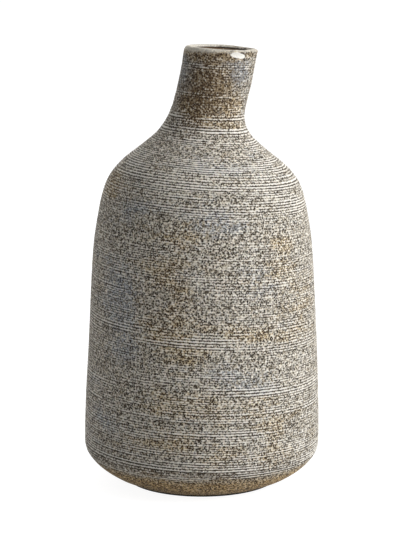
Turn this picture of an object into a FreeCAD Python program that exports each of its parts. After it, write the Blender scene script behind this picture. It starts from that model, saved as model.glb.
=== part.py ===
"""A leaning bottle vase of coarse stoneware, thrown in four sections and luted together.

A shallow foot dish, a tall belly wall, a shoulder dome and a leaning neck meet on flat scored seams.
A thin glaze lines the inside, and a dark felt disc lies under the foot.
The frame stands on the floor at the middle of the foot: +Z up, +X the way the neck leans, -Y to the viewer.
"""
import FreeCAD, Part
import math
import os
from collections import namedtuple

# Driving dimensions, in millimetres and degrees.
SIZES = {
    "pad_thickness": 1.2,
    "pad_inset": 0.8,
    "foot_radius": 46.0,
    "foot_rise": 21.8,
    "floor_radius": 45.0,
    "floor_thickness": 7.0,
    "belly_radius": 70.0,
    "belly_rise": 117.0,
    "belly_top_radius": 64.5,
    "belly_wall": 6.0,
    "shoulder_rise": 68.0,
    "neck_root_radius": 26.7,
    "neck_rise": 49.0,
    "neck_radius": 21.3,
    "neck_wall": 4.5,
    "neck_lean": 11.3,
    "lip_tilt": 3.2,
    "glaze_thickness": 0.5,
}

# The foot's trimmed bevel, from the flat foot to the widest ring: shares of its rise, of its spread
# and of the neck's lean, since the foot sits a hair to that side of the middle.
FOOT_SHARES = [(0.0, 0.0, 0.016), (0.183, 0.375, 0.013), (0.55, 0.8, 0.007), (0.844, 0.975, 0.003), (1.0, 1.0, 0.0)]

# The inside of the foot, from the flat floor to the foot seam: shares of its rise and of its spread.
FLOOR_SHARES = [(0.0, 0.0), (0.08, 0.31), (0.35, 0.615), (1.0, 0.917)]

# The belly, from the widest ring up: shares of its rise, of its taper and of the neck's lean.
BELLY_SHARES = [(0.0, 0.0, 0.0), (0.66, 0.545, 0.055), (1.0, 1.0, 0.05)]

# The shoulder, from the top of the belly up: shares of its rise, of the fall in radius, of the neck's lean,
# of the lip's tilt and of the thinning wall, then how much wider than thick the sloped wall measures.
SHOULDER_SHARES = [
    (0.0, 0.0, 0.05, 0.0, 0.0, 1.0),
    (0.338, 0.09, 0.07, 0.17, 0.1, 1.02),
    (0.493, 0.157, 0.078, 0.29, 0.22, 1.07),
    (0.585, 0.2275, 0.08, 0.355, 0.35, 1.18),
    (0.662, 0.323, 0.082, 0.42, 0.45, 1.3),
    (0.735, 0.45, 0.084, 0.505, 0.55, 1.47),
    (0.9, 0.8175, 0.1, 0.7, 0.8, 1.6),
    (1.0, 1.0, 0.125, 0.82, 0.9, 1.22),
]

# The neck, from its root up to the lip: shares of its rise, of its flare, of its lean, of the lip's tilt
# and of the thinning wall, then how much wider than thick the sloped wall measures.
NECK_SHARES = [
    (0.0, 1.0, 0.125, 0.82, 0.9, 1.22),
    (0.163, 0.25, 0.222, 0.92, 1.0, 1.15),
    (0.327, 0.0, 0.395, 1.0, 1.0, 1.0),
    (0.653, 0.0, 0.735, 1.0, 1.0, 1.0),
    (1.0, 0.0, 1.0, 1.0, 1.0, 1.0),
]

# The seams at which two thrown sections are luted together, as shares of the rise that holds each.
FOOT_SEAM_SHARE = 0.73
SHOULDER_SEAM_SHARE = 0.62
NECK_SEAM_SHARE = 0.09

# The shares of the neck's rise between which it is straight, below the turn of the lip.
NECK_STRAIGHT_SHARES = (0.327, 0.653)

# Each edge of the lip is rounded by this share of the neck's wall, in facets at these shares of a quarter turn.
LIP_ROUND_SHARE = 0.44
LIP_TURN_SHARES = (0.5, 1.0)

# The bands of each stretch: the foot and its inside below the foot seam, and the heel above it.
FOOT_BANDS = 5
FLOOR_BANDS = 3
HEEL_BANDS = 2

# The bands of the wall on each side: the belly, the shoulder below and above its seam, and the neck's root.
Bands = namedtuple("Bands", "belly low_shoulder high_shoulder neck_root")
OUTSIDE = Bands(3, 5, 7, 4)
INSIDE = Bands(3, 3, 5, 4)

CLAY_BASE = "Sizes.pad_thickness"
FLOOR_TOP = CLAY_BASE + " + Sizes.floor_thickness"
FOOT_SEAM_HEIGHT = f"{CLAY_BASE} + Sizes.foot_rise * {FOOT_SEAM_SHARE}"
WIDEST = CLAY_BASE + " + Sizes.foot_rise"
BELLY_TOP = WIDEST + " + Sizes.belly_rise"
NECK_ROOT = BELLY_TOP + " + Sizes.shoulder_rise"
LIP = NECK_ROOT + " + Sizes.neck_rise"
LIP_ROUND = f"Sizes.neck_wall * {LIP_ROUND_SHARE}"

# One ring of the vase, each value an expression: centre height, radius, shift along X, tilt about Y,
# and the wall's thickness and a skin's scale, both measured level.
Ring = namedtuple("Ring", "height radius shift tilt wall skin")


def make_sheet(doc):
    sheet = doc.addObject("Spreadsheet::Sheet", "Sizes")
    for row, (alias, value) in enumerate(SIZES.items(), start=1):
        sheet.set(f"A{row}", alias)
        sheet.set(f"B{row}", str(value))
        sheet.setAlias(f"B{row}", alias)
    doc.recompute()


def slope_at(before, after):
    """The slope of a smooth curve at a point, from the straight slopes on its two sides."""
    if before * after <= 0:
        return 0.0
    return 2 * before * after / (before + after)


def row_at(rows, share):
    """The row of a share table at any share of its rise, on a smooth curve through the rows it has."""
    n = max(k for k in range(len(rows) - 1) if rows[k][0] <= share)
    start, end = rows[n], rows[n + 1]
    width = end[0] - start[0]
    t = (share - start[0]) / width
    values = [share]
    for column in range(1, len(start)):
        straight = [(b[column] - a[column]) / (b[0] - a[0]) for a, b in zip(rows, rows[1:])]
        first = slope_at(straight[n - 1], straight[n]) if n > 0 else straight[n]
        last = slope_at(straight[n], straight[n + 1]) if n + 2 < len(rows) else straight[n]
        values.append(
            start[column] * (1 + 2 * t) * (1 - t) ** 2
            + end[column] * t ** 2 * (3 - 2 * t)
            + width * (first * t * (1 - t) ** 2 - last * t ** 2 * (1 - t))
        )
    return [round(value, 4) for value in values]


def rows_along(rows, start, end, bands):
    """The rows of a share table from one share of its rise to another, with even bands between them."""
    return [row_at(rows, start + (end - start) * n / bands) for n in range(bands + 1)]


def foot_rings(start, end, bands):
    spread = "(Sizes.belly_radius - Sizes.foot_radius)"
    return [
        Ring(
            f"{CLAY_BASE} + Sizes.foot_rise * {rise}",
            f"Sizes.foot_radius + {spread} * {out}",
            f"Sizes.neck_lean * {lean}",
            "0", "Sizes.belly_wall", 1.0,
        )
        for rise, out, lean in rows_along(FOOT_SHARES, start, end, bands)
    ]


def floor_rings(skin):
    """The dished inside of the foot up to its seam, drawn in by a skin."""
    bottom = f"({FLOOR_TOP} + {skin})"
    flat = f"(Sizes.floor_radius - {skin})"
    side = f"(Sizes.belly_radius - Sizes.belly_wall - {skin})"
    shift = foot_rings(FOOT_SEAM_SHARE, 1, 1)[0].shift
    return [
        Ring(
            f"{bottom} + ({FOOT_SEAM_HEIGHT} - {bottom}) * {rise}",
            f"{flat} + ({side} - {flat}) * {out}",
            shift, "0", "0", 0.0,
        )
        for rise, out in rows_along(FLOOR_SHARES, 0, 1, FLOOR_BANDS)
    ]


def belly_rings(bands):
    taper = "(Sizes.belly_radius - Sizes.belly_top_radius)"
    return [
        Ring(
            f"{WIDEST} + Sizes.belly_rise * {rise}",
            f"Sizes.belly_radius - {taper} * {inward}",
            f"Sizes.neck_lean * {lean}",
            "0", "Sizes.belly_wall", 1.0,
        )
        for rise, inward, lean in rows_along(BELLY_SHARES, 0, 1, bands)
    ]


def wall_at(thinning, slope):
    return f"(Sizes.belly_wall + (Sizes.neck_wall - Sizes.belly_wall) * {thinning}) * {slope}"


def shoulder_rings(start, end, bands):
    fall = "(Sizes.belly_top_radius - Sizes.neck_root_radius)"
    return [
        Ring(
            f"{BELLY_TOP} + Sizes.shoulder_rise * {rise}",
            f"Sizes.belly_top_radius - {fall} * {inward}",
            f"Sizes.neck_lean * {lean}",
            f"Sizes.lip_tilt * {tilt}",
            wall_at(thinning, slope), slope,
        )
        for rise, inward, lean, tilt, thinning, slope in rows_along(SHOULDER_SHARES, start, end, bands)
    ]


def neck_rings(start, end, bands):
    flare = "(Sizes.neck_root_radius - Sizes.neck_radius)"
    return [
        Ring(
            f"{NECK_ROOT} + Sizes.neck_rise * {rise}",
            f"Sizes.neck_radius + {flare} * {out}",
            f"Sizes.neck_lean * {lean}",
            f"Sizes.lip_tilt * {tilt}",
            wall_at(thinning, slope), slope,
        )
        for rise, out, lean, tilt, thinning, slope in rows_along(NECK_SHARES, start, end, bands)
    ]


def lip_ring(below, narrower):
    """A ring of the straight neck at a distance below the lip, drawn in by a length."""
    straight_end = NECK_STRAIGHT_SHARES[1]
    lean_slope = (1 - row_at(NECK_SHARES, straight_end)[2]) / (1 - straight_end)
    return Ring(
        f"{LIP} - ({below})",
        f"Sizes.neck_radius - ({narrower})",
        f"Sizes.neck_lean * (1 - ({below}) / Sizes.neck_rise * {lean_slope})",
        "Sizes.lip_tilt", "Sizes.neck_wall", 1.0,
    )


def lip_rounding(inward):
    """The rings that turn an edge of the lip over, inward from the outside (1) or outward from the inside (-1)."""
    rings = []
    for share in LIP_TURN_SHARES:
        turn = share * math.pi / 2
        rings.append(lip_ring(f"{LIP_ROUND} * {1 - math.sin(turn)}", f"{LIP_ROUND} * {inward * (1 - math.cos(turn))}"))
    return rings


def belly_stretch(side):
    """The rings of one side of the wall from the widest ring to the shoulder seam."""
    return belly_rings(side.belly) + shoulder_rings(0, SHOULDER_SEAM_SHARE, side.low_shoulder)[1:]


def dome_stretch(side):
    """The rings of one side of the wall from the shoulder seam to the neck seam."""
    return shoulder_rings(SHOULDER_SEAM_SHARE, 1, side.high_shoulder) + neck_rings(0, NECK_SEAM_SHARE, 1)[1:]


def neck_stretch(side):
    """The rings of one side of the wall from the neck seam to where the lip starts to turn over."""
    start, end = NECK_STRAIGHT_SHARES
    root = neck_rings(NECK_SEAM_SHARE, start, side.neck_root)
    return root + neck_rings(start, end, 1)[1:] + [lip_ring(LIP_ROUND, "0")]


def within(rings, skin="0"):
    """The inside of the wall at some of its rings, drawn in further by a skin."""
    return [ring._replace(radius=f"{ring.radius} - ({ring.wall} + {skin} * {ring.skin})") for ring in rings]


def add_circle(doc, name, ring):
    circle = doc.addObject("Part::Circle", name)
    circle.Placement.Rotation = FreeCAD.Rotation(FreeCAD.Vector(0, 1, 0), 1)
    circle.setExpression("Radius", ring.radius)
    circle.setExpression("Placement.Base.x", ring.shift)
    circle.setExpression("Placement.Base.z", ring.height)
    circle.setExpression("Placement.Rotation.Angle", ring.tilt)
    return circle


def add_loft(doc, name, rings):
    loft = doc.addObject("Part::Loft", name)
    loft.Sections = [add_circle(doc, f"{name}_ring_{n:02d}", ring) for n, ring in enumerate(rings)]
    loft.Solid = True
    loft.Ruled = True
    loft.Closed = False
    return loft


def add_hollow(doc, name, outside, inside):
    """A filled loft through the rings of the outside, less one through those of the inside."""
    hollow = doc.addObject("Part::Cut", name)
    hollow.Base = add_loft(doc, f"{name}_outside", outside)
    hollow.Tool = add_loft(doc, f"{name}_inside", inside)
    return hollow


def felt_pad(doc):
    pad = doc.addObject("Part::Cylinder", "felt_pad")
    pad.setExpression("Radius", "Sizes.foot_radius - Sizes.pad_inset")
    pad.setExpression("Height", "Sizes.pad_thickness")
    return pad


def foot_dish(doc):
    return add_hollow(doc, "foot_dish", foot_rings(0, FOOT_SEAM_SHARE, FOOT_BANDS), floor_rings("0"))


def belly_wall(doc):
    outside = foot_rings(FOOT_SEAM_SHARE, 1, HEEL_BANDS)[:-1] + belly_stretch(OUTSIDE)
    inside = floor_rings("0")[-1:] + within(belly_stretch(INSIDE))
    return add_hollow(doc, "belly_wall", outside, inside)


def shoulder_dome(doc):
    return add_hollow(doc, "shoulder_dome", dome_stretch(OUTSIDE), within(dome_stretch(INSIDE)))


def neck(doc):
    outside = neck_stretch(OUTSIDE) + lip_rounding(1)
    inside = within(neck_stretch(INSIDE) + lip_rounding(-1))
    return add_hollow(doc, "neck", outside, inside)


def glaze_lining(doc):
    """The coat of glaze on the clay's inside, from the floor to where the lip starts to turn over."""
    wall = belly_stretch(INSIDE) + dome_stretch(INSIDE)[1:] + neck_stretch(INSIDE)[1:]
    skin = "Sizes.glaze_thickness"
    return add_hollow(doc, "glaze_lining", floor_rings("0") + within(wall), floor_rings(skin) + within(wall, skin))


def build(doc):
    """Makes every piece and returns them by the name of their file."""
    make_sheet(doc)
    makers = (felt_pad, foot_dish, belly_wall, shoulder_dome, neck, glaze_lining)
    pieces = {maker.__name__: maker(doc) for maker in makers}
    doc.recompute()
    return pieces


def check(doc, pieces):
    """Stops before anything is written if a feature failed or a piece is not a sound solid."""
    for item in doc.Objects:
        if "Invalid" in item.State or "Error" in item.State:
            raise RuntimeError(f"{item.Name} failed: {item.State}")
    for name, item in pieces.items():
        shape = item.Shape
        if shape.isNull() or not shape.isValid() or not shape.Solids:
            raise RuntimeError(f"{name} is not a sound solid")


def write(pieces):
    os.makedirs("parts", exist_ok=True)
    for name, item in pieces.items():
        item.Label = name
        item.Shape.exportStep(f"parts/{name}.step")
        box = item.Shape.BoundBox
        print(f"{name}: {item.Shape.Volume / 1000:.1f} cm3, {len(item.Shape.Solids)} solid, "
              f"{box.XLength:.1f} x {box.YLength:.1f} x {box.ZLength:.1f} mm")


document = FreeCAD.newDocument("bottle_vase")
parts = build(document)
check(document, parts)
write(parts)
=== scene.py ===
"""The looks of a leaning bottle vase of coarse combed stoneware.

Laid out as a Blender add-on and run as a script. Four thrown sections, a glaze coat and a felt disc stand
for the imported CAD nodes, in the same frame, in metres.
"""
import math

import bpy
import numpy as np
from bpy.props import FloatProperty, FloatVectorProperty, IntProperty, PointerProperty
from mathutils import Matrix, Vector


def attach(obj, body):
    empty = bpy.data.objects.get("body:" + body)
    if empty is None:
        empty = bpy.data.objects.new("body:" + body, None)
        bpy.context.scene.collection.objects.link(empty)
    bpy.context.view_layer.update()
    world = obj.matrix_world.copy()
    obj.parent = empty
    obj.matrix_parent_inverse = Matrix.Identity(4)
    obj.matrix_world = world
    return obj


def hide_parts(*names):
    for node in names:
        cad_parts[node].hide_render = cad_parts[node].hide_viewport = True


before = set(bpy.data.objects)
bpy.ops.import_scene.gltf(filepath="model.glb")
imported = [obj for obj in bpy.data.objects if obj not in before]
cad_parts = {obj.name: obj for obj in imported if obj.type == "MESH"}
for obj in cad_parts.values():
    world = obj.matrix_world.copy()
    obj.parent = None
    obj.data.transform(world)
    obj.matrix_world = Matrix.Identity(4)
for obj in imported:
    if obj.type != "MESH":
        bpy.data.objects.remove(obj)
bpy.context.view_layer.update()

bl_info = {
    "name": "Combed stoneware bottle vase",
    "version": (1, 0, 0),
    "blender": (4, 5, 0),
    "location": "3D View > Sidebar > Vase",
    "description": "Builds a leaning bottle vase of combed stoneware, with its glaze, felt and stage",
    "category": "Add Mesh",
}

MM = 0.001

# ------------------------------------------------ the thrown form, in millimetres

CLAY_BASE = 1.2
FLOOR_TOP = 8.2
LIP = 257.0
LIP_ROUND = 1.98
LIP_EDGE = LIP - LIP_ROUND
NECK_WALL = 4.5

# The outside of the wall at rest: level, radius, shift along X, tilt about Y in degrees.
OUTSIDE = [
    (1.2, 46.0, 0.18, 0.0),
    (5.19, 55.0, 0.15, 0.0),
    (13.19, 65.2, 0.08, 0.0),
    (19.6, 69.35, 0.03, 0.0),
    (23.0, 69.95, 0.0, 0.0),
    (100.2, 67.0, 0.62, 0.0),
    (140.0, 64.5, 0.565, 0.0),
    (162.98, 61.1, 0.79, 0.54),
    (173.5, 58.57, 0.88, 0.93),
    (179.8, 55.9, 0.90, 1.14),
    (185.0, 52.3, 0.93, 1.34),
    (190.0, 47.5, 0.95, 1.62),
    (201.2, 33.6, 1.13, 2.24),
    (208.0, 26.7, 1.41, 2.62),
    (216.0, 22.65, 2.51, 2.94),
    (224.0, 21.3, 4.46, 3.2),
    (240.0, 21.3, 8.31, 3.2),
    (257.0, 21.3, 11.3, 3.2),
]

# The wall's thickness, measured level, by level.
WALL = [
    (1.2, 6.0), (140.0, 6.0), (162.98, 5.97), (173.5, 6.07), (179.8, 6.46), (185.0, 6.92),
    (190.0, 7.61), (201.2, 7.68), (208.0, 5.67), (216.0, 5.18), (224.0, 4.5), (257.0, 4.5),
]

# The dished inside of the foot: level and radius, up to the foot seam.
FLOOR = [(8.2, 45.0), (8.91, 50.9), (11.32, 56.7), (17.11, 62.4)]

# How far the comb rings tip down to the right, in degrees, by level.
RING_TIP = [
    (1.2, 0.0), (10.0, 0.9), (23.0, 1.5), (80.0, 2.6), (130.0, 3.2), (180.0, 3.6), (210.0, 3.5), (224.0, 3.2),
    (257.0, 3.2),
]

# The levels at which the sections are luted together.
FOOT_SEAM, SHOULDER_SEAM, NECK_SEAM = 17.1, 182.2, 212.4

# ------------------------------------------------ how finely the form is divided

LEVEL_STEPS = 6001
RING_COLUMNS = 180
SETTLING_ROUNDS = 6

# The rows of the inside: their pitch, and where they end under the lip and begin for the glaze.
INSIDE_PITCH = 7.0
INSIDE_LIP_GAP = 2.0
GLAZE_START_GAP = 6.0

# Radii of the rings on flat faces, and the turns of rounded edges.
UNDERSIDE_RADII = (3.0, 16.0, 32.0, 44.0)
FLOOR_RADII = (3.0, 12.0, 24.0, 36.0)
GLAZE_MIDDLE = 2.0
FELT_RADII = (4.0, 16.0, 28.0, 38.0)
LIP_TURNS = [n * math.pi / 2 / 6 for n in range(7)]
FELT_EDGE_TURNS = np.linspace(-1.57, 1.57, 9)

# ------------------------------------------------ the comb and the potter's hand

# One groove: share of the pitch and height of its rows, from -1 at the bottom to 1 on the ridge.
COMB_STEPS = ((0.0, -1.0), (0.24, 0.25), (0.5, 1.0), (0.76, 0.25))
COMB_START, COMB_END = 3.0, 251.0
SMOOTH_LEVELS = (252.0, 253.0, 254.0, LIP_EDGE)
PITCH_SPREAD = 0.13
PITCH_GROWTH = 0.16

# How the hand presses the comb: reach of its unevenness in grooves and columns, then its strength.
HAND_REACH = (0.5, 4.5)
PRESS, PRESS_SPREAD = 0.8, 0.38
PRESS_LEAST, PRESS_MOST = 0.1, 1.6

# How the wall and the lip waver: reach in rows and columns.
WAVER_REACH = (26.0, 13.0)
LIP_WAVER_REACH = 9.0
WAVER_END = 246.0
EDGE_FADE = 5.0

# Rings that the comb cut deeper: level, reach in level, how much deeper.
DEEP_RINGS = [
    (17.5, 2.6, 2.3),
    (23.0, 2.2, 1.3),
    (29.0, 4.0, 1.0),
    (42.0, 3.0, 0.8),
    (54.0, 4.0, 0.9),
    (67.0, 3.5, 1.0),
    (96.0, 5.0, 1.0),
    (128.0, 5.0, 0.5),
    (150.0, 3.0, 0.5),
    (170.0, 4.0, 0.6),
    (177.0, 2.5, 1.1),
    (183.5, 3.5, 2.0),
    (192.0, 4.0, 1.7),
    (204.5, 2.0, 1.2),
    (210.5, 1.8, 1.7),
    (217.5, 1.6, 2.0),
    (230.5, 1.4, 1.6),
    (246.5, 1.6, 1.5),
]

# Stretches that stayed nearly smooth: level, reach in level, how much shallower.
SMOOTH_BANDS = [(7.0, 7.0, 0.85), (235.0, 15.0, 0.65), (155.0, 10.0, 0.35)]

# ------------------------------------------------ what the kiln left, place by place

# Each spot: degrees round from the front (right is +), level, reach round, reach in level, weight.

# Warm, rusty places in the clay.
WARM_SPOTS = [
    (-12, 236, 34, 15, 1.2),
    (-20, 222, 30, 8, 0.9),
    (42, 222, 20, 9, 0.9),
    (0, 255, 180, 5, 0.7),
    (-68, 177, 16, 8, 0.9),
    (-8, 155, 15, 10, 0.55),
    (-17, 124, 13, 26, 0.6),
    (-12, 92, 16, 14, 0.6),
    (48, 146, 14, 15, 0.6),
    (58, 116, 16, 12, 0.5),
    (38, 100, 26, 7, 0.6),
    (-8, 58, 30, 11, 0.6),
    (42, 52, 18, 9, 0.5),
    (-20, 36, 34, 8, 0.55),
    (30, 30, 30, 8, 0.45),
    (0, 5, 180, 11, 1.1),
]

# Cool, slate-grey places.
COOL_SPOTS = [
    (40, 246, 26, 9, 0.9),
    (-68, 244, 18, 14, 0.9),
    (-42, 168, 16, 9, 0.7),
    (10, 164, 18, 10, 0.8),
    (-46, 122, 14, 24, 0.8),
    (28, 128, 10, 14, 0.6),
    (-42, 88, 12, 16, 0.6),
    (-54, 46, 18, 12, 0.6),
    (24, 71, 18, 8, 0.6),
    (16, 193, 34, 7, 0.5),
    (8, 84, 10, 8, 0.4),
]

# Darker places washed brown: iron in the clay, and on the neck also painted shade.
DARK_AND_SHADED_SPOTS = [
    (-18, 234, 58, 22, 2.0),
    (0, 256, 180, 4, 0.5),
    (-20, 214, 22, 8, 0.5),
    (-66, 180, 18, 8, 0.6),
    (-17, 124, 9, 22, 0.3),
    (-10, 18, 60, 7, 0.7),
]

# The glaze that ran over the lip, glossy and painted white as its highlight, and how far it is sunk into the
# clay.
GLAZE_RUNS = [(25, 254.4, 11, 1.7, 1.3), (36, 253.2, 7, 1.3, 1.0)]
RUN_DENT = 0.25

# Spots wider than this, in degrees, go all round and aren't repeated at the back.
WIDE_SPOT = 90

# How much darker the inner turn of the lip is painted, as shade inside the mouth, and the row past its middle
# where that starts.
MOUTH_SHADE = 3.0
MOUTH_SHADE_START = 5

# ------------------------------------------------ the clay's finish

# Sizes of its lumps, in metres, and how far they are drawn out round the wall.
WARM_CLOUD, COOL_CLOUD = 9 * MM, 12 * MM
SAND, FLECK, STREAK = 0.62 * MM, 2.2 * MM, 1.15 * MM
PALE_SPECK, GRIT_ROWS = 1.2 * MM, 2.6 * MM
RING_STRETCH, SAND_STRETCH = (0.4, 0.4, 1.0), (0.8, 0.8, 1.0)
RING_LEAN = (0.0, math.radians(3.2), 0.0)
PALE_SHIFT = (0.31, 0.17, 0.23)

# Rusty and slate-grey patches: where they begin and end, and how strongly they colour the clay.
CLOUD_WEIGHT = 2.0
RUSTY_RANGE, SLATY_RANGE = (1.1, 1.8), (1.1, 1.85)
RUSTY_SHARE, SLATY_SHARE, HUE_SHARE = 0.65, 0.6, 0.5

# Light and dark from grain to grain, painted light on ridges and painted shade in grooves, and what it
# multiplies the clay's colour by.
SAND_TONE, FLECK_TONE, STREAK_TONE, SPECK_TONE = 0.65, 0.08, 1.1, 1.4
DARK_TONE, COMB_PAINTED_LIGHT = 0.07, 0.26
SLATE_CONTRAST, FOOT_CONTRAST, NECK_CONTRAST = (1.05, 0.7), 0.35, 0.25
TONE_LOW, TONE_HIGH = -0.36, 0.37
DEEPEST, DEEPEST_RUSTY, BRIGHTEST = (0.16, 0.13, 0.09), (0.14, 0.08, 0.02), (1.7, 1.7, 1.7)
WASH_SHARE = 0.29

# Specks: their size and soft edge as shares of a cell, and how many of the cells have one.
SPECK_REACH, SPECK_EDGE = (0.27, 0.54), (-0.04, 0.07)
PALE_CROWD, PALE_SHARE = (-0.05, 0.4), (0.9, 0.55)
RUSTY_CROWD, ROW_CROWD, SLATY_CROWD, COMB_CROWD = (0.4, 0.95), (-0.35, 0.5), 0.2, 0.2

# Painted highlight on the comb's ridges and painted shade in its grooves, broken up by the grain.
LINE_BREAK = 1.9
RIDGE_HIGHLIGHT_RANGE, RIDGE_HIGHLIGHT_SHARE = (0.6, 1.8), 0.75
GROOVE_SHADE_RANGE, GROOVE_SHADE_SHARE = (-0.55, -1.5), 0.95

# The trimmed foot, the neck, the lip, the painted shade inside the mouth and the run of glaze.
FOOT_RANGE, NECK_RANGE = (19 * MM, 11 * MM), (214 * MM, 226 * MM)
FOOT_TINT, FOOT_TINT_SHARE = (1.1, 0.93, 0.66), 0.8
LIP_RANGE, LIP_WANDER, LIP_SHARE = (256 * MM, 258.5 * MM), 4 * MM, 0.6
OUTSIDE_RANGE = (MOUTH_SHADE * 0.7, MOUTH_SHADE * 0.5)
MOUTH_SHADE_RANGE, MOUTH_SHADE_SHARE = (MOUTH_SHADE * 0.6, MOUTH_SHADE), 0.85
RUN_RANGE, RUN_WANDER = (0.75, 1.05), 0.6
CLAY_ROUGHNESS, RUN_ROUGHNESS, CLAY_SPECULAR = 0.86, 0.18, 0.35
GRAIN_RELIEF = 0.7

# ------------------------------------------------ the finish of the glaze and the felt

GLAZE_CLOUD, GLAZE_RIPPLE, PINHOLE = 12 * MM, 5 * MM, 3 * MM
GLAZE_DARKER = 0.55
GLAZE_CLOUD_RANGE, PINHOLE_RANGE = (0.35, 0.7), (0.12, 0.06)
THIN_RANGE, THIN_WANDER = (232 * MM, 252 * MM), 12 * MM
GLAZE_ROUGHNESS = (0.1, 0.3)

FELT_FIBRE, FELT_MAT = 0.5 * MM, 4 * MM
FELT_LIGHTER = 2.2
FELT_RANGE, MAT_WEIGHT = (0.55, 0.95), 0.4
FELT_ROUGHNESS = (0.85, 1.0)
FELT_SHEEN, FELT_SHEEN_ROUGHNESS = 0.12, 0.5

# ------------------------------------------------ the stage

WHITE, BLACK = (1.0, 1.0, 1.0), (0.0, 0.0, 0.0)
FLOOR_HALF = 12.0
FLOOR_GLOW, FLOOR_CATCH = 0.93, 0.26
FLOOR_CLOUD, FLOOR_TONES = 0.4, (0.96, 1.0)
BACKDROP_RANGE, OVERHEAD_RANGE = (0.3, 0.9), (0.1, 1.0)
LAMP_SIZE = 0.9
LAMP_AIM = (0.0, 0.0, 0.12)
CAMERA_PLACE = (0.0001, -1.190, 0.345)
CAMERA_DIP = 10.45
CAMERA_LENS = 136.63
CAMERA_REACH = (0.05, 60.0)


def linear(red, green, blue):
    """A colour given from 0 to 255, as Blender's linear values."""
    shares = [value / 255 for value in (red, green, blue)]
    return tuple(round(c / 12.92 if c <= 0.04045 else ((c + 0.055) / 1.055) ** 2.4, 4) for c in shares)


# ------------------------------------------------ what a user would change


class VaseForm(bpy.types.PropertyGroup):
    """Sizes of the comb marks and of the unevenness of the thrown wall"""

    comb_pitch: FloatProperty(
        name="Comb pitch", description="Distance between two comb grooves", default=1.36 * MM,
        min=0.8 * MM, max=4 * MM, precision=5, unit="LENGTH")
    comb_depth: FloatProperty(
        name="Comb depth", description="Depth of an ordinary comb groove", default=0.22 * MM,
        min=0.0, max=1 * MM, precision=5, unit="LENGTH")
    waver: FloatProperty(
        name="Waver", description="How far the thrown wall wavers inward", default=0.32 * MM,
        min=0.0, max=2 * MM, precision=5, unit="LENGTH")
    lip_waver: FloatProperty(
        name="Lip waver", description="How far the lip dips below its highest point", default=0.45 * MM,
        min=0.0, max=2 * MM, precision=5, unit="LENGTH")
    seed: IntProperty(name="Seed", description="Picks another hand-made variation", default=11, min=0)


class VaseClay(bpy.types.PropertyGroup):
    """Colours of the bare clay and of what lies in and on it"""

    body: FloatVectorProperty(
        name="Clay", description="Main colour of the bare clay", default=linear(157, 151, 140),
        subtype="COLOR", size=3, min=0, max=1)
    slate: FloatVectorProperty(
        name="Slate", description="Colour of the cool patches", default=linear(131, 138, 147),
        subtype="COLOR", size=3, min=0, max=1)
    ochre: FloatVectorProperty(
        name="Ochre", description="Colour of the rusty patches", default=linear(161, 143, 107),
        subtype="COLOR", size=3, min=0, max=1)
    # The colour of the painted highlight on the comb ridges, also the white of the glaze run
    painted_highlight: FloatVectorProperty(
        name="Chalk", description="Colour of the rubbed comb ridges", default=linear(236, 233, 226),
        subtype="COLOR", size=3, min=0, max=1)
    # The colour of the painted shade in the comb grooves
    groove: FloatVectorProperty(
        name="Groove", description="Colour of the stain in the comb grooves", default=linear(54, 45, 34),
        subtype="COLOR", size=3, min=0, max=1)
    grit: FloatVectorProperty(
        name="Grit", description="Colour of the dark iron specks", default=linear(20, 15, 9),
        subtype="COLOR", size=3, min=0, max=1)
    rust: FloatVectorProperty(
        name="Rust", description="Colour of the specks in the rusty patches", default=linear(52, 32, 9),
        subtype="COLOR", size=3, min=0, max=1)
    # The colour of the wash over the darker places, partly painted shade on the neck
    umber: FloatVectorProperty(
        name="Umber", description="Colour of the iron wash on the neck", default=linear(76, 50, 20),
        subtype="COLOR", size=3, min=0, max=1)
    cream: FloatVectorProperty(
        name="Cream", description="Colour of the pale specks and the lip", default=linear(236, 231, 218),
        subtype="COLOR", size=3, min=0, max=1)
    grit_size: FloatProperty(
        name="Grit size", description="Size of the cells that hold one dark speck each", default=1.1 * MM,
        min=0.5 * MM, max=5 * MM, precision=5, unit="LENGTH")


class VaseGlaze(bpy.types.PropertyGroup):
    """Colours and thickness of the glaze inside"""

    colour: FloatVectorProperty(
        name="Glaze", description="Colour of the glaze inside", default=linear(196, 186, 164),
        subtype="COLOR", size=3, min=0, max=1)
    thin: FloatVectorProperty(
        name="Thin glaze", description="Colour of the glaze where it thins over the clay near the lip",
        default=linear(98, 76, 52), subtype="COLOR", size=3, min=0, max=1)
    thickness: FloatProperty(
        name="Thickness", description="Thickness of the glaze coat", default=0.5 * MM,
        min=0.1 * MM, max=2 * MM, precision=5, unit="LENGTH")


class VaseFelt(bpy.types.PropertyGroup):
    """Colour and sizes of the felt under the foot"""

    # The felt's black also stands as painted contact shadow under the foot
    colour: FloatVectorProperty(
        name="Felt", description="Colour of the felt under the foot", default=linear(18, 17, 16),
        subtype="COLOR", size=3, min=0, max=1)
    radius: FloatProperty(
        name="Radius", description="Radius of the felt disc", default=45.2 * MM,
        min=10 * MM, max=46 * MM, precision=5, unit="LENGTH")
    thickness: FloatProperty(
        name="Thickness", description="Thickness of the felt", default=1.2 * MM,
        min=0.5 * MM, max=3 * MM, precision=5, unit="LENGTH")


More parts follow.
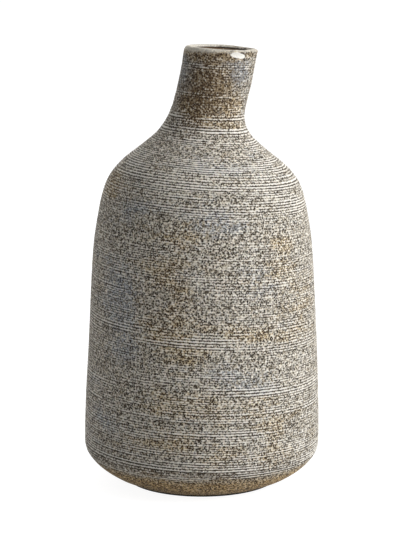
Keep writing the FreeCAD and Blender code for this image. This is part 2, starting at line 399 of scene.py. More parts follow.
class VaseStage(bpy.types.PropertyGroup):
    """The floor's shade, and the strength and place of the light"""

    floor_shade: FloatVectorProperty(
        name="Floor", description="Colour of the pale floor under other light", default=(0.62, 0.62, 0.62),
        subtype="COLOR", size=3, min=0, max=1)
    lamp_power: FloatProperty(
        name="Lamp power", description="Power of the soft lamp to the right", default=18.5, min=0,
        unit="POWER")
    lamp_distance: FloatProperty(
        name="Lamp distance", description="From the vase to the middle of the lamp", default=1.3,
        min=0.3, unit="LENGTH")
    lamp_turn: FloatProperty(
        name="Lamp turn", description="How far round to the right of the camera the lamp stands",
        default=math.radians(68), subtype="ANGLE")
    lamp_rise: FloatProperty(
        name="Lamp rise", description="How high the lamp stands", default=math.radians(29), subtype="ANGLE")
    sky: FloatProperty(
        name="Studio light", description="Strength of the even light from all round", default=0.05, min=0)
    backdrop: FloatProperty(
        name="Backdrop", description="How much brighter the lit backdrop is", default=2.0, min=0)
    overhead: FloatProperty(
        name="Overhead", description="How much brighter the light from above is", default=0.4, min=0)


# ------------------------------------------------ curves and noise


def smooth_curve(table, at):
    """The columns of a table at many levels, on smooth curves through its rows that never overshoot them."""
    table = np.array(table, float)
    knots = table[:, 0]
    at = np.clip(at, knots[0], knots[-1])
    n = np.clip(np.searchsorted(knots, at, side="right") - 1, 0, len(knots) - 2)
    width = knots[n + 1] - knots[n]
    t = (at - knots[n]) / width
    columns = []
    for values in table[:, 1:].T:
        straight = np.diff(values) / np.diff(knots)
        before, after = straight[:-1], straight[1:]
        same_way = before * after > 0
        middle = np.zeros(len(before))
        middle[same_way] = 2 * before[same_way] * after[same_way] / (before + after)[same_way]
        slopes = np.concatenate([straight[:1], middle, straight[-1:]])
        columns.append(
            values[n] * (1 + 2 * t) * (1 - t) ** 2 + values[n + 1] * t ** 2 * (3 - 2 * t)
            + width * (slopes[n] * t * (1 - t) ** 2 - slopes[n + 1] * t ** 2 * (1 - t))
        )
    return columns


# The thrown form at many levels, and the turns of a ring's columns.
LEVELS = np.linspace(CLAY_BASE, LIP, LEVEL_STEPS)
RADII, SHIFTS, TILTS = smooth_curve(OUTSIDE, LEVELS)
TILTS = np.radians(TILTS)
SLOPES = np.gradient(RADII, LEVELS)
ARC = np.concatenate([[0.0], np.cumsum(np.hypot(np.diff(LEVELS), np.diff(RADII)))])
TIPS = np.tan(np.radians(np.interp(LEVELS, *np.array(RING_TIP).T)))
AZIMUTHS = np.linspace(0, 2 * math.pi, RING_COLUMNS, endpoint=False)


def at_level(values, level):
    """One of the form's values at any level."""
    return np.interp(level, LEVELS, values)


def soft_noise(rng, rows, columns, down, around):
    """Seeded noise with unit spread, softened down the rows and round the ring, where it meets itself."""
    field = rng.standard_normal((rows, columns))
    for axis, reach, shape in ((0, down, (-1, 1)), (1, around, (1, -1))):
        waves = np.fft.fftfreq(field.shape[axis])
        keep = np.exp(-2 * (math.pi * waves * reach) ** 2).reshape(shape)
        field = np.fft.ifft(np.fft.fft(field, axis=axis) * keep, axis=axis).real
    return (field - field.mean()) / field.std()


def from_zero(field, most):
    """A field moved and scaled to run from 0 to its most."""
    return (field - field.min()) / (field.max() - field.min()) * most


def bumps(spots, level, back=False):
    """A soft field over level and azimuth, the sum of round spots, which the back can repeat."""
    field = np.zeros((len(level), RING_COLUMNS))
    for turn, middle, around, up, weight in spots:
        for side in (0, 180) if back and around < WIDE_SPOT else (0,):
            away = (np.degrees(AZIMUTHS) + 90 - turn + side + 180) % 360 - 180
            field += weight * np.exp(-(away[None, :] / around) ** 2 - ((level[:, None] - middle) / up) ** 2)
    return field


def kiln_marks(level):
    """What the kiln left at each level and azimuth, by name."""
    spots = {"warm": WARM_SPOTS, "cool": COOL_SPOTS, "dark": DARK_AND_SHADED_SPOTS}
    marks = {name: bumps(places, level, back=True) for name, places in spots.items()}
    return {**marks, "glaze": bumps(GLAZE_RUNS, level)}


def strength_of(level):
    """How deep the comb cut at a level, as a share of an ordinary groove."""
    share = np.ones_like(level)
    for middle, reach, more in DEEP_RINGS:
        share += more * np.exp(-((level - middle) / reach) ** 2)
    for middle, reach, less in SMOOTH_BANDS:
        share *= 1 - less * np.exp(-((level - middle) / reach) ** 2)
    return share


# ------------------------------------------------ rings of points


def ring_points(height, radius, shift=0.0, tilt=0.0):
    """Points of rings that are shifted along X and tilted about Y, in metres."""
    across = radius * np.cos(AZIMUTHS)
    x = shift + across * np.cos(tilt)
    y = radius * np.sin(AZIMUTHS)
    z = height - across * np.sin(tilt)
    return np.stack(np.broadcast_arrays(x, y, z), axis=-1) * MM


def wall_rings(table):
    """Rings on the axis of the wall, from rows of level and radius."""
    level, radius = np.array(table, float).T[:, :, None]
    return ring_points(level, radius, at_level(SHIFTS, level), at_level(TILTS, level))


def upright_rings(table):
    """Rings on the upright axis, from rows of level and radius."""
    level, radius = np.array(table, float).T[:, :, None]
    return ring_points(level, radius)


def on_wall(level, narrower, lower, tip):
    """Points of the outside by level and azimuth, drawn in and let down by some lengths, in metres."""
    level = level[:, None] * np.ones(RING_COLUMNS)
    height = level
    # Radius and tilt depend on the height that they lead to, so it settles over a few rounds.
    for _ in range(SETTLING_ROUNDS):
        radius, tilt = at_level(RADII, height), at_level(TILTS, height)
        height = level + radius * np.cos(AZIMUTHS) * (np.sin(tilt) - tip[:, None])
    slope = at_level(SLOPES, height)
    steep = np.hypot(1, slope)
    radius = at_level(RADII, height) - narrower / steep
    sunk = height + narrower * slope / steep - lower
    return ring_points(sunk, radius, at_level(SHIFTS, height), at_level(TILTS, height))


# ------------------------------------------------ the clay's surface


def comb_rows(form, rng):
    """Level, wave and groove number of every row of the outside, from the foot to the turn of the lip."""
    place, end = np.interp([COMB_START, COMB_END], LEVELS, ARC)
    rows, groove = [(CLAY_BASE, 0.0, 0)], 0
    while place < end:
        force = strength_of(np.array([np.interp(place, ARC, LEVELS)]))[0]
        spread = PITCH_SPREAD * rng.standard_normal() + PITCH_GROWTH * max(force - 1, 0)
        pitch = form.comb_pitch / MM * (1 + spread)
        rows += [
            (float(np.interp(place + pitch * share, ARC, LEVELS)), wave, groove)
            for share, wave in COMB_STEPS
        ]
        place += pitch
        groove += 1
    rows += [(level, 0.0, groove) for level in SMOOTH_LEVELS]
    levels, waves, grooves = zip(*rows)
    return np.array(levels), np.array(waves), np.array(grooves)


class Skin:
    """The outside of the clay as rows of points, with what the comb and the kiln left on each point."""

    def __init__(self, form):
        rng = np.random.default_rng(form.seed)
        self.level, wave, groove = comb_rows(form, rng)
        hand = soft_noise(rng, groove.max() + 1, RING_COLUMNS, *HAND_REACH)
        press = np.clip(PRESS + PRESS_SPREAD * hand, PRESS_LEAST, PRESS_MOST)[groove]
        force = strength_of(self.level)[:, None] * press
        depth = form.comb_depth / MM * force * (1 - wave[:, None]) / 2
        waver = from_zero(soft_noise(rng, len(self.level), RING_COLUMNS, *WAVER_REACH), form.waver / MM)
        self.dip = from_zero(soft_noise(rng, 1, RING_COLUMNS, 0.0, LIP_WAVER_REACH)[0], form.lip_waver / MM)
        near_lip = np.clip((self.level - WAVER_END) / (LIP_EDGE - WAVER_END), 0, 1)[:, None]
        inside_edges = np.clip((self.level - CLAY_BASE) / EDGE_FADE, 0, 1)[:, None] * (1 - near_lip)
        self.marks = {"comb": wave[:, None] * force * inside_edges, **kiln_marks(self.level)}
        inward = (depth + waver) * inside_edges + self.marks["glaze"] * RUN_DENT
        self.points = on_wall(self.level, inward, near_lip ** 2 * self.dip, at_level(TIPS, self.level))

    def row_near(self, level):
        """The groove row nearest to a level."""
        grooves = np.flatnonzero(self.marks["comb"].min(axis=1) < 0)
        return min(grooves, key=lambda row: abs(self.level[row] - level))

    def part(self, first, last):
        """The points and marks from one row to another."""
        rows = slice(first, last + 1)
        return self.points[rows], {name: values[rows] for name, values in self.marks.items()}


def lip_rows(skin):
    """The rows that turn the lip over from the outside to the inside, and their marks."""
    outer = [(LIP_ROUND * (1 - math.cos(turn)), LIP_ROUND * (1 - math.sin(turn))) for turn in LIP_TURNS[1:]]
    inner = [(NECK_WALL - narrower, lower) for narrower, lower in outer[::-1]]
    path = np.array(outer + inner + [(NECK_WALL, LIP_ROUND)])
    top = np.full(len(path), LIP)
    narrower, lower = path[:, :1] * np.ones(RING_COLUMNS), path[:, 1:] + skin.dip
    points = on_wall(top, narrower, lower, np.full(len(path), TIPS[-1]))
    marks = kiln_marks(top - lower.min(axis=1))
    # Painted shade inside the mouth, carried on the dark mark
    marks["dark"][len(path) // 2 + MOUTH_SHADE_START:] += MOUTH_SHADE
    return points, {"comb": np.zeros_like(marks["dark"]), **marks}


def inside_rows(start, end):
    """The bare inside of the wall from one level to another, as level and radius."""
    count = max(2, int(round(abs(start - end) / INSIDE_PITCH)) + 1)
    levels = np.linspace(start, end, count)
    wall = at_level(RADII, levels) - np.interp(levels, *np.array(WALL).T)
    dish = np.interp(levels, *np.array(FLOOR).T)
    return list(zip(levels, np.where(levels < FOOT_SEAM, dish, wall)))


# ------------------------------------------------ meshes


def ring_faces(first, second, count):
    """Four-sided faces between two rings of points, given by their first index."""
    here = np.arange(count)
    after = (here + 1) % count
    return np.stack([first + here, first + after, second + after, second + here], axis=1)


def middle_faces(points, rings, count):
    """Two middle points for the end rings of an open piece, and the triangles that close it with them."""
    points = np.vstack([points, rings[0].mean(axis=0), rings[-1].mean(axis=0)])
    bottom, top, last = len(points) - 2, len(points) - 1, (len(rings) - 1) * count
    pairs = [(here, (here + 1) % count) for here in range(count)]
    faces = [(bottom, after, here) for here, after in pairs]
    faces += [(last + here, last + after, top) for here, after in pairs]
    return points, faces


def crease_rings(mesh, creases, count):
    """Marks whole rings of edges as sharp, where a seam's flat face meets the outside or the inside."""
    ends = np.zeros(len(mesh.edges) * 2, np.int32)
    mesh.edges.foreach_get("vertices", ends)
    rings = ends.reshape(-1, 2) // count
    sharp = (rings[:, 0] == rings[:, 1]) & np.isin(rings[:, 0], list(creases))
    mesh.attributes.new("sharp_edge", "BOOLEAN", "EDGE").data.foreach_set("value", sharp)


def make_mesh(name, rings, closed, marks=None, creases=()):
    """A piece from rings of points, joined in order. Its ends meet if it is closed, and are capped if not."""
    count = rings.shape[1]
    points, caps = rings.reshape(-1, 3), []
    faces = [ring_faces(n * count, (n + 1) * count, count) for n in range(len(rings) - 1)]
    if closed:
        faces.append(ring_faces((len(rings) - 1) * count, 0, count))
    else:
        points, caps = middle_faces(points, rings, count)
    mesh = bpy.data.meshes.new(name)
    mesh.from_pydata(points.tolist(), [], np.vstack(faces).tolist() + caps)
    mesh.polygons.foreach_set("use_smooth", [True] * len(mesh.polygons))
    for key, values in (marks or {}).items():
        full = np.zeros(len(points), np.float32)
        full[:values.size] = values.ravel()
        mesh.attributes.new(key, "FLOAT", "POINT").data.foreach_set("value", full)
    crease_rings(mesh, creases, count)
    mesh.validate()
    piece = bpy.data.objects.new(name, mesh)
    bpy.context.scene.collection.objects.link(piece)
    return piece


def dress(piece, material, node):
    """Gives a piece its material and slot, on the vase's one body, in place of its CAD node."""
    piece.data.materials.append(material)
    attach(piece, "root")
    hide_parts(node)


def section(name, outer, marks, inner, node, lip=False):
    """One thrown section: its outside rows, then its bare inside rows, closed by its flat seam faces."""
    rings = np.vstack([outer, wall_rings(inner)])
    seams = (0, len(rings) - 1) if lip else (0, len(outer) - 1, len(rings) - 1)
    dress(make_mesh(name, rings, True, marks, seams), SHARED["clay"], node)


def join_marks(first, second):
    """The marks of two runs of rows, one after the other."""
    return {name: np.vstack([values, second[name]]) for name, values in first.items()}


# What the sections of the clay share: its outside and its material.
SHARED = {}


def shared_skin(scene):
    """The clay's outside, worked out once for the sections that share it."""
    if "skin" not in SHARED:
        SHARED["skin"] = Skin(scene.vase_form)
        SHARED["clay"] = ClayLook(scene.vase_clay).material()
    return SHARED["skin"]


# ------------------------------------------------ node trees


class Tree:
    """The node tree of a material or world, emptied, with short ways to add and join its nodes."""

    def __init__(self, owner):
        owner.use_nodes = True
        self.owner = owner
        self.tree = owner.node_tree
        self.tree.nodes.clear()

    def add(self, kind, settings=None, **inputs):
        """A node with some settings, and inputs given by name or, as _0, _1, by number."""
        node = self.tree.nodes.new(kind)
        for key, value in (settings or {}).items():
            setattr(node, key, value)
        for key, value in inputs.items():
            socket = node.inputs[int(key[1:])] if key[0] == "_" else node.inputs[key.replace("_", " ")]
            self.put(socket, value)
        return node

    def put(self, socket, value):
        """Joins a socket to another one, or sets its value."""
        if isinstance(value, bpy.types.NodeSocket):
            self.tree.links.new(value, socket)
        elif socket.type == "RGBA":
            socket.default_value = (*value[:3], 1.0)
        else:
            socket.default_value = value

    def math(self, operation, a, b=0.0, clamp=False):
        settings = {"operation": operation, "use_clamp": clamp}
        return self.add("ShaderNodeMath", settings, _0=a, _1=b).outputs[0]

    def plus(self, a, b, clamp=False):
        return self.math("ADD", a, b, clamp)

    def minus(self, a, b, clamp=False):
        return self.math("SUBTRACT", a, b, clamp)

    def times(self, a, b, clamp=False):
        return self.math("MULTIPLY", a, b, clamp)

    def around_zero(self, value, weight):
        """A value from 0 to 1 moved to lie around 0, and weighted."""
        return self.times(self.minus(value, 0.5), weight)

    def step(self, value, low, high, most=1.0):
        """0 below low, its most above high, and smooth between them."""
        settings = {"interpolation_type": "SMOOTHSTEP"}
        return self.add("ShaderNodeMapRange", settings, _0=value, _1=low, _2=high, _3=0.0, _4=most).outputs[0]

    def ramp(self, value, low, high):
        """0 below low, 1 above high, and straight between them."""
        return self.add("ShaderNodeMapRange", {}, _0=value, _1=low, _2=high, _3=0.0, _4=1.0).outputs[0]

    def spread(self, value, low, high):
        """A value from 0 to 1 spread over another range."""
        settings = {"clamp": False}
        return self.add("ShaderNodeMapRange", settings, _0=value, _1=0.0, _2=1.0, _3=low, _4=high).outputs[0]

    def mix(self, share, a, b, blend="MIX"):
        """Two colours mixed, with a share of the second."""
        node = self.add("ShaderNodeMix", {"data_type": "RGBA", "blend_type": blend})
        for socket, value in ((node.inputs[0], share), (node.inputs[6], a), (node.inputs[7], b)):
            self.put(socket, value)
        return node.outputs[2]

    def place(self):
        """Where a point is on its piece, in metres."""
        return self.add("ShaderNodeTexCoord").outputs["Object"]

    def height(self, where):
        return self.add("ShaderNodeSeparateXYZ", {}, Vector=where).outputs["Z"]

    def stretched(self, where, stretch, lean=(0.0, 0.0, 0.0)):
        """Places leaned over and drawn out, for lumps that are longer one way than the other."""
        return self.add("ShaderNodeMapping", {}, Vector=where, Rotation=lean, Scale=stretch).outputs["Vector"]

    def noise(self, vector, size, detail=2.0, rough=0.5, twist=0.0):
        """Noise whose lumps are about this size, in metres."""
        return self.add(
            "ShaderNodeTexNoise", {}, Vector=vector, Scale=1 / size, Detail=detail, Roughness=rough,
            Distortion=twist).outputs["Fac"]

    def cells(self, vector, size):
        """Cells of about this size: the distance to each one's middle, in cells, and its random colour."""
        node = self.add(
            "ShaderNodeTexVoronoi", {"feature": "F1"}, Vector=vector, Scale=1 / size, Randomness=1.0)
        return node.outputs["Distance"], node.outputs["Color"]

    def shades(self, colour):
        """The red, green and blue of a colour, by name."""
        return self.add("ShaderNodeSeparateColor", {}, Color=colour).outputs

    def specks(self, where, size, share):
        """Round specks of mixed sizes in a share of the cells, 1 inside and 0 outside."""
        away, colour = self.cells(where, size)
        shades = self.shades(colour)
        here = self.math("LESS_THAN", shades["Red"], share)
        reach = self.spread(shades["Green"], *SPECK_REACH)
        return self.times(here, self.step(self.minus(reach, away), *SPECK_EDGE))

    def mark(self, name):
        """One of the marks that the mesh carries."""
        return self.add("ShaderNodeAttribute", {"attribute_name": name}).outputs["Fac"]

    def seen_plainly(self):
        """1 for what the camera, gloss and glass see, and 0 for what lights other things."""
        path = self.add("ShaderNodeLightPath")
        seen = path.outputs["Is Camera Ray"]
        for name in ("Is Glossy Ray", "Is Transmission Ray"):
            seen = self.math("MAXIMUM", seen, path.outputs[name])
        return seen

    def bump(self, height, strength, depth):
        """Relief for a shader, from a height between 0 and 1."""
        node = self.add("ShaderNodeBump", {}, Strength=strength, Distance=depth, Height=height)
        return node.outputs["Normal"]

    def surface(self, colour, roughness, bump, **constants):
        """The tree's material, finished with one shader and its constant values."""
        return self.finish(self.add(
            "ShaderNodeBsdfPrincipled", {}, Base_Color=colour, Roughness=roughness, Normal=bump, **constants))

    def finish(self, shader):
        """The tree's material or world, with its output joined to a shader."""
        kind = "World" if isinstance(self.owner, bpy.types.World) else "Material"
        self.add("ShaderNodeOutput" + kind, {}, Surface=shader.outputs[0])
        return self.owner


# ------------------------------------------------ materials


class ClayLook(Tree):
    """Coarse speckled clay, combed, with painted highlights on its ridges, painted shade in its grooves and
    rusty and slate-grey patches.
    """

    def __init__(self, clay):
        super().__init__(bpy.data.materials.new("stoneware"))
        self.clay = clay
        self.where = self.place()
        self.level = self.height(self.where)
        self.rings = self.stretched(self.where, RING_STRETCH, RING_LEAN)
        self.comb, self.dark = self.mark("comb"), self.mark("dark")
        self.rusty = self.patch("warm", WARM_CLOUD, RUSTY_RANGE)
        self.slaty = self.patch("cool", COOL_CLOUD, SLATY_RANGE)
        self.foot = self.step(self.level, *FOOT_RANGE)
        self.neck = self.step(self.level, *NECK_RANGE)
        self.flecks = self.noise(self.where, FLECK, 2.0, 0.6)
        self.sand = self.shades(self.cells(self.stretched(self.where, SAND_STRETCH), SAND)[1])["Blue"]
        self.from_speck, colour = self.cells(self.where, clay.grit_size)
        self.hue = self.around_zero(self.shades(colour)["Blue"], HUE_SHARE)
        self.tone = self.grain_tone()
        self.grit = self.grit_specks()

    def patch(self, mark, cloud, edges):
        """1 in the patches of a mark, whose edges wander like clouds."""
        cloud = self.noise(self.rings, cloud, 4.0, 0.6)
        return self.step(self.plus(self.mark(mark), self.times(cloud, CLOUD_WEIGHT)), *edges)

    def grain_tone(self):
        """How much lighter or darker each grain is than the clay round it."""
        streak = self.noise(self.rings, STREAK, 1.0, 0.5)
        tone = self.around_zero(self.sand, SAND_TONE)
        tone = self.plus(tone, self.around_zero(self.flecks, FLECK_TONE))
        tone = self.plus(tone, self.around_zero(streak, STREAK_TONE))
        tone = self.minus(tone, self.times(self.dark, DARK_TONE))
        return self.plus(tone, self.around_zero(self.from_speck, SPECK_TONE))

    def grit_specks(self):
        """Dark specks, thick in rusty places and in grooves, and sparse in slate-grey ones."""
        rows = self.noise(self.rings, GRIT_ROWS, 2.0, 0.6)
        crowd = self.plus(self.spread(self.rusty, *RUSTY_CROWD), self.spread(rows, *ROW_CROWD))
        crowd = self.minus(crowd, self.times(self.slaty, SLATY_CROWD))
        crowd = self.minus(crowd, self.times(self.comb, COMB_CROWD))
        return self.specks(self.where, self.clay.grit_size, crowd)

    def patched(self):
        """The clay's own colour and its patches, with a hue of its own in each grain."""
        slaty = self.minus(self.times(self.slaty, SLATY_SHARE), self.hue, clamp=True)
        rusty = self.plus(self.times(self.rusty, RUSTY_SHARE), self.hue, clamp=True)
        colour = self.mix(slaty, self.clay.body, self.clay.slate)
        return self.mix(rusty, colour, self.clay.ochre)

    def shaded(self, colour):
        """Light and dark by grain, painted light on ridges and painted shade in grooves, calmer in slate-grey
        and on the neck, then the wash.
        """
        contrast = self.plus(self.spread(self.slaty, *SLATE_CONTRAST), self.times(self.foot, FOOT_CONTRAST))
        contrast = self.minus(contrast, self.times(self.neck, NECK_CONTRAST))
        shades = self.plus(self.times(self.tone, contrast), self.times(self.comb, COMB_PAINTED_LIGHT))
        shades = self.ramp(shades, TONE_LOW, TONE_HIGH)
        shades = self.mix(shades, self.mix(self.rusty, DEEPEST, DEEPEST_RUSTY), BRIGHTEST)
        colour = self.mix(1.0, colour, shades, "MULTIPLY")
        return self.mix(self.times(self.dark, WASH_SHARE, clamp=True), colour, self.clay.umber)

    def speckled(self, colour):
        """Pale specks, most of them on ridges, where they also paint glints, and then the dark ones."""
        moved = self.add("ShaderNodeVectorMath", {}, _0=self.where, _1=PALE_SHIFT).outputs[0]
        crowd = self.plus(self.spread(self.flecks, *PALE_CROWD), self.times(self.comb, COMB_CROWD))
        pale = self.specks(moved, PALE_SPECK, crowd)
        colour = self.mix(self.times(pale, self.spread(self.neck, *PALE_SHARE)), colour, self.clay.cream)
        return self.mix(self.grit, colour, self.mix(self.rusty, self.clay.grit, self.clay.rust))

    def combed(self, colour):
        """Painted highlight on the strong ridges and painted shade in the strong grooves, broken by the
        grain.
        """
        lines = self.plus(self.comb, self.times(self.tone, LINE_BREAK))
        painted_highlight = self.times(self.step(lines, *RIDGE_HIGHLIGHT_RANGE), RIDGE_HIGHLIGHT_SHARE)
        painted_shade = self.times(self.step(lines, *GROOVE_SHADE_RANGE), GROOVE_SHADE_SHARE)
        return self.mix(painted_shade, self.mix(painted_highlight, colour, self.clay.painted_highlight), self.clay.groove)

    def ended(self, colour):
        """The warm trimmed foot, the pale rubbed lip and painted shade inside the mouth."""
        colour = self.mix(self.times(self.foot, FOOT_TINT_SHARE), colour, FOOT_TINT, "MULTIPLY")
        lip = self.step(self.plus(self.level, self.times(self.flecks, LIP_WANDER)), *LIP_RANGE)
        lip = self.times(lip, self.step(self.dark, *OUTSIDE_RANGE))
        # The mouth's painted shade, in the grit's colour
        mouth = self.times(self.step(self.dark, *MOUTH_SHADE_RANGE), MOUTH_SHADE_SHARE)
        colour = self.mix(self.times(lip, LIP_SHARE), colour, self.clay.cream)
        return self.mix(mouth, colour, self.clay.grit)

    def material(self):
        """The finished material, with the glossy run of glaze over the clay, painted white as a highlight."""
        colour = self.ended(self.combed(self.speckled(self.shaded(self.patched()))))
        run = self.step(self.plus(self.mark("glaze"), self.times(self.flecks, RUN_WANDER)), *RUN_RANGE)
        relief = self.plus(self.times(self.sand, GRAIN_RELIEF), self.times(self.grit, -GRAIN_RELIEF))
        return self.surface(
            self.mix(run, colour, self.clay.painted_highlight), self.spread(run, CLAY_ROUGHNESS, RUN_ROUGHNESS),
            self.bump(relief, 0.6, 0.25 * MM), Specular_IOR_Level=CLAY_SPECULAR)


def glaze_look(settings):
    """Milky glossy glaze, with fine pinholes, that thins to brown near the lip."""
    t = Tree(bpy.data.materials.new("glaze"))
    where = t.place()
    cloud = t.noise(where, GLAZE_CLOUD, 4.0, 0.6)
    darker = tuple(value * GLAZE_DARKER for value in settings.colour)
    colour = t.mix(t.step(cloud, *GLAZE_CLOUD_RANGE), settings.colour, darker)
    thin = t.step(t.plus(t.height(where), t.times(cloud, THIN_WANDER)), *THIN_RANGE)
    colour = t.mix(thin, colour, settings.thin)
    pinholes, _ = t.cells(where, PINHOLE)
    colour = t.mix(t.step(pinholes, *PINHOLE_RANGE), colour, darker)
    ripples = t.noise(where, GLAZE_RIPPLE, 2.0, 0.4)
    return t.surface(colour, t.spread(cloud, *GLAZE_ROUGHNESS), t.bump(ripples, 0.3, 0.3 * MM))


def felt_look(settings):
    """Dark pressed felt, its fibres matted in all directions, black enough to also paint the contact shadow
    under the foot.
    """
    t = Tree(bpy.data.materials.new("felt"))
    where = t.place()
    fibres = t.noise(where, FELT_FIBRE, 4.0, 0.75, 1.5)
    matting = t.noise(where, FELT_MAT, 3.0, 0.6)
    lighter = tuple(value * FELT_LIGHTER for value in settings.colour)
    share = t.step(t.plus(fibres, t.times(matting, MAT_WEIGHT)), *FELT_RANGE)
    return t.surface(
        t.mix(share, settings.colour, lighter), t.spread(matting, *FELT_ROUGHNESS),
        t.bump(fibres, 0.8, 0.3 * MM), Sheen_Weight=FELT_SHEEN, Sheen_Roughness=FELT_SHEEN_ROUGHNESS)


def floor_look(stage):
    """A pale floor that the camera, glass and gloss see as white, but for the shadow on it."""
    t = Tree(bpy.data.materials.new("pale_floor"))
    tone = t.spread(t.noise(t.place(), FLOOR_CLOUD, 3.0, 0.5), *FLOOR_TONES)
    plain = t.add("ShaderNodeBsdfDiffuse", {}, Color=t.mix(tone, BLACK, stage.floor_shade))
    faint = t.add("ShaderNodeBsdfDiffuse", {}, Color=(FLOOR_CATCH,) * 3)
    glow = t.add("ShaderNodeEmission", {}, Color=WHITE, Strength=FLOOR_GLOW)
    white = t.add("ShaderNodeAddShader", {}, _0=faint.outputs[0], _1=glow.outputs[0])
    seen = t.seen_plainly()
    return t.finish(t.add("ShaderNodeMixShader", {}, _0=seen, _1=plain.outputs[0], _2=white.outputs[0]))


# ------------------------------------------------ the stage's parts


def make_floor(stage):
    corners = [(x * FLOOR_HALF, y * FLOOR_HALF, 0.0) for x, y in ((-1, -1), (1, -1), (1, 1), (-1, 1))]
    mesh = bpy.data.meshes.new("floor")
    mesh.from_pydata(corners, [], [(0, 1, 2, 3)])
    mesh.materials.append(floor_look(stage))
    floor = bpy.data.objects.new("floor", mesh)
    bpy.context.scene.collection.objects.link(floor)


def make_world(stage):
    """Even light from all round, stronger from behind and above, and white when seen or reflected."""
    t = Tree(bpy.data.worlds.new("studio"))
    bpy.context.scene.world = t.owner
    way = t.add("ShaderNodeSeparateXYZ", {}, Vector=t.add("ShaderNodeTexCoord").outputs["Generated"]).outputs
    behind = t.step(way["Y"], *BACKDROP_RANGE, stage.backdrop)
    above = t.step(way["Z"], *OVERHEAD_RANGE, stage.overhead)
    strength = t.plus(above, t.plus(behind, stage.sky))
    soft = t.add("ShaderNodeBackground", {}, Color=WHITE, Strength=strength)
    white = t.add("ShaderNodeBackground", {}, Color=WHITE, Strength=1.0)
    seen = t.seen_plainly()
    t.finish(t.add("ShaderNodeMixShader", {}, _0=seen, _1=soft.outputs[0], _2=white.outputs[0]))


def make_lamp(stage):
    """A large soft lamp, to the right of the camera and above it, that looks at the belly."""
    lamp = bpy.data.lights.new("soft_lamp", "AREA")
    lamp.shape = "SQUARE"
    lamp.size = LAMP_SIZE
    lamp.energy = stage.lamp_power
    flat = math.cos(stage.lamp_rise) * stage.lamp_distance
    rise = math.sin(stage.lamp_rise) * stage.lamp_distance
    away = Vector((flat * math.sin(stage.lamp_turn), -flat * math.cos(stage.lamp_turn), rise))
    holder = bpy.data.objects.new("soft_lamp", lamp)
    holder.location = Vector(LAMP_AIM) + away
    holder.rotation_mode = "QUATERNION"
    holder.rotation_quaternion = (-away).to_track_quat("-Z", "Y")
    holder.visible_camera = False
    bpy.context.scene.collection.objects.link(holder)


def make_camera(scene):
    lens = bpy.data.cameras.new("camera")
    lens.lens = CAMERA_LENS
    lens.clip_start, lens.clip_end = CAMERA_REACH
    camera = bpy.data.objects.new("camera", lens)
    camera.location = CAMERA_PLACE
    camera.rotation_euler = (math.radians(90 - CAMERA_DIP), 0.0, 0.0)
    scene.collection.objects.link(camera)
    scene.camera = camera


# ------------------------------------------------ operators


class MakeStage(bpy.types.Operator):
    """Makes the pale floor, the white surroundings, the soft lamp and the camera"""

    bl_idname = "vase.make_stage"
    bl_label = "Stage"

    def execute(self, context):
        stage = context.scene.vase_stage
        make_floor(stage)
        make_world(stage)
        make_lamp(stage)
        make_camera(context.scene)
        context.scene.view_settings.view_transform = "Standard"
        return {"FINISHED"}


class MakeFoot(bpy.types.Operator):
    """Makes the foot dish, closed underneath, up to the foot seam"""

    bl_idname = "vase.make_foot"
    bl_label = "Foot dish"

    def execute(self, context):
        skin = shared_skin(context.scene)
        outer, marks = skin.part(0, skin.row_near(FOOT_SEAM))
        under = wall_rings([(CLAY_BASE, radius) for radius in UNDERSIDE_RADII])
        inside = wall_rings(FLOOR[::-1] + [(FLOOR_TOP, radius) for radius in FLOOR_RADII[::-1]])
        plain = {name: np.zeros(under.shape[:2]) for name in marks}
        edge, seam = len(under), len(under) + len(outer) - 1
        rings = np.vstack([under, outer, inside])
        piece = make_mesh("foot_skin", rings, False, join_marks(plain, marks), (edge, seam, seam + 1))
        dress(piece, SHARED["clay"], "foot_dish")
        return {"FINISHED"}


class MakeBelly(bpy.types.Operator):
    """Makes the tall belly wall, between the foot seam and the shoulder seam"""

    bl_idname = "vase.make_belly"
    bl_label = "Belly wall"

    def execute(self, context):
        skin = shared_skin(context.scene)
        outer, marks = skin.part(skin.row_near(FOOT_SEAM), skin.row_near(SHOULDER_SEAM))
        section("belly_skin", outer, marks, inside_rows(SHOULDER_SEAM, FOOT_SEAM), "belly_wall")
        return {"FINISHED"}


class MakeShoulder(bpy.types.Operator):
    """Makes the shoulder dome, between the shoulder seam and the neck seam"""

    bl_idname = "vase.make_shoulder"
    bl_label = "Shoulder dome"

    def execute(self, context):
        skin = shared_skin(context.scene)
        outer, marks = skin.part(skin.row_near(SHOULDER_SEAM), skin.row_near(NECK_SEAM))
        section("shoulder_skin", outer, marks, inside_rows(NECK_SEAM, SHOULDER_SEAM), "shoulder_dome")
        return {"FINISHED"}


class MakeNeck(bpy.types.Operator):
    """Makes the leaning neck and its rounded lip"""

    bl_idname = "vase.make_neck"
    bl_label = "Neck"

    def execute(self, context):
        skin = shared_skin(context.scene)
        outer, marks = skin.part(skin.row_near(NECK_SEAM), len(skin.level) - 1)
        turn, turn_marks = lip_rows(skin)
        inner = inside_rows(LIP_EDGE - INSIDE_LIP_GAP, NECK_SEAM)
        section("neck_skin", np.vstack([outer, turn]), join_marks(marks, turn_marks), inner, "neck", lip=True)
        return {"FINISHED"}


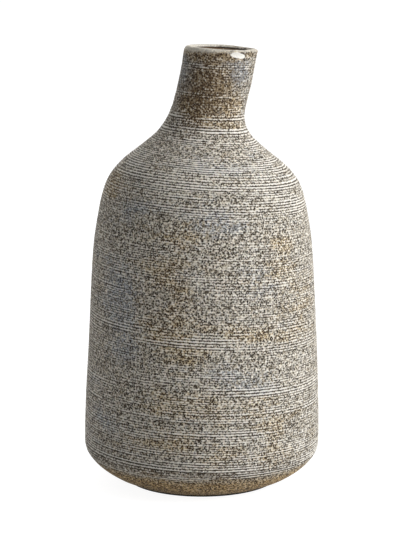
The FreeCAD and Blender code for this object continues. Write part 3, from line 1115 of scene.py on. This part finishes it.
class MakeGlaze(bpy.types.Operator):
    """Makes the coat of glaze on the inside, from the floor to the lip"""

    bl_idname = "vase.make_glaze"
    bl_label = "Glaze coat"

    def execute(self, context):
        settings = context.scene.vase_glaze
        coat = settings.thickness / MM
        up = [(FLOOR_TOP, radius) for radius in FLOOR_RADII] + FLOOR
        up += inside_rows(FOOT_SEAM + GLAZE_START_GAP, LIP_EDGE)
        down = [
            (max(level, FLOOR_TOP + coat), max(radius - coat, GLAZE_MIDDLE)) for level, radius in up[::-1]
        ]
        piece = make_mesh("glaze_coat", wall_rings(up + down), False)
        dress(piece, glaze_look(settings), "glaze_lining")
        return {"FINISHED"}


class MakeFelt(bpy.types.Operator):
    """Makes the felt disc under the foot, whose black also paints the contact shadow"""

    bl_idname = "vase.make_felt"
    bl_label = "Felt disc"

    def execute(self, context):
        settings = context.scene.vase_felt
        radius, edge = settings.radius / MM, settings.thickness / MM / 2
        under = [(0.0, middle) for middle in FELT_RADII]
        rim = [(edge + edge * math.sin(a), radius - edge + edge * math.cos(a)) for a in FELT_EDGE_TURNS]
        top = [(2 * edge, middle) for middle in FELT_RADII[::-1]]
        piece = make_mesh("felt_disc", upright_rings(under + rim + top), False)
        dress(piece, felt_look(settings), "felt_pad")
        return {"FINISHED"}


# ------------------------------------------------ panel and registration


class VasePanel(bpy.types.Panel):
    """Lists the makers and the settings"""

    bl_idname = "VIEW3D_PT_vase"
    bl_label = "Bottle vase"
    bl_space_type = "VIEW_3D"
    bl_region_type = "UI"
    bl_category = "Vase"

    def draw(self, context):
        layout = self.layout
        for maker in MAKERS:
            layout.operator(maker.bl_idname)
        for name, group in GROUPS.items():
            box = layout.box()
            settings = getattr(context.scene, name)
            for key in group.__annotations__:
                box.prop(settings, key)


GROUPS = {
    "vase_form": VaseForm, "vase_clay": VaseClay, "vase_glaze": VaseGlaze, "vase_felt": VaseFelt,
    "vase_stage": VaseStage,
}
MAKERS = (MakeStage, MakeFoot, MakeBelly, MakeShoulder, MakeNeck, MakeGlaze, MakeFelt)


def register():
    for name, group in GROUPS.items():
        bpy.utils.register_class(group)
        setattr(bpy.types.Scene, name, PointerProperty(type=group))
    for maker in (*MAKERS, VasePanel):
        bpy.utils.register_class(maker)


def unregister():
    for maker in (VasePanel, *reversed(MAKERS)):
        bpy.utils.unregister_class(maker)
    for name, group in reversed(GROUPS.items()):
        delattr(bpy.types.Scene, name)
        bpy.utils.unregister_class(group)


def corners(box):
    """A box's two corners as plain lists."""
    return [list(corner) for corner in box]


def main():
    register()
    bpy.ops.vase.make_stage()
    bpy.ops.vase.make_foot()
    bpy.ops.vase.make_belly()
    bpy.ops.vase.make_shoulder()
    bpy.ops.vase.make_neck()
    bpy.ops.vase.make_glaze()
    bpy.ops.vase.make_felt()


if __name__ == "__main__":
    main()
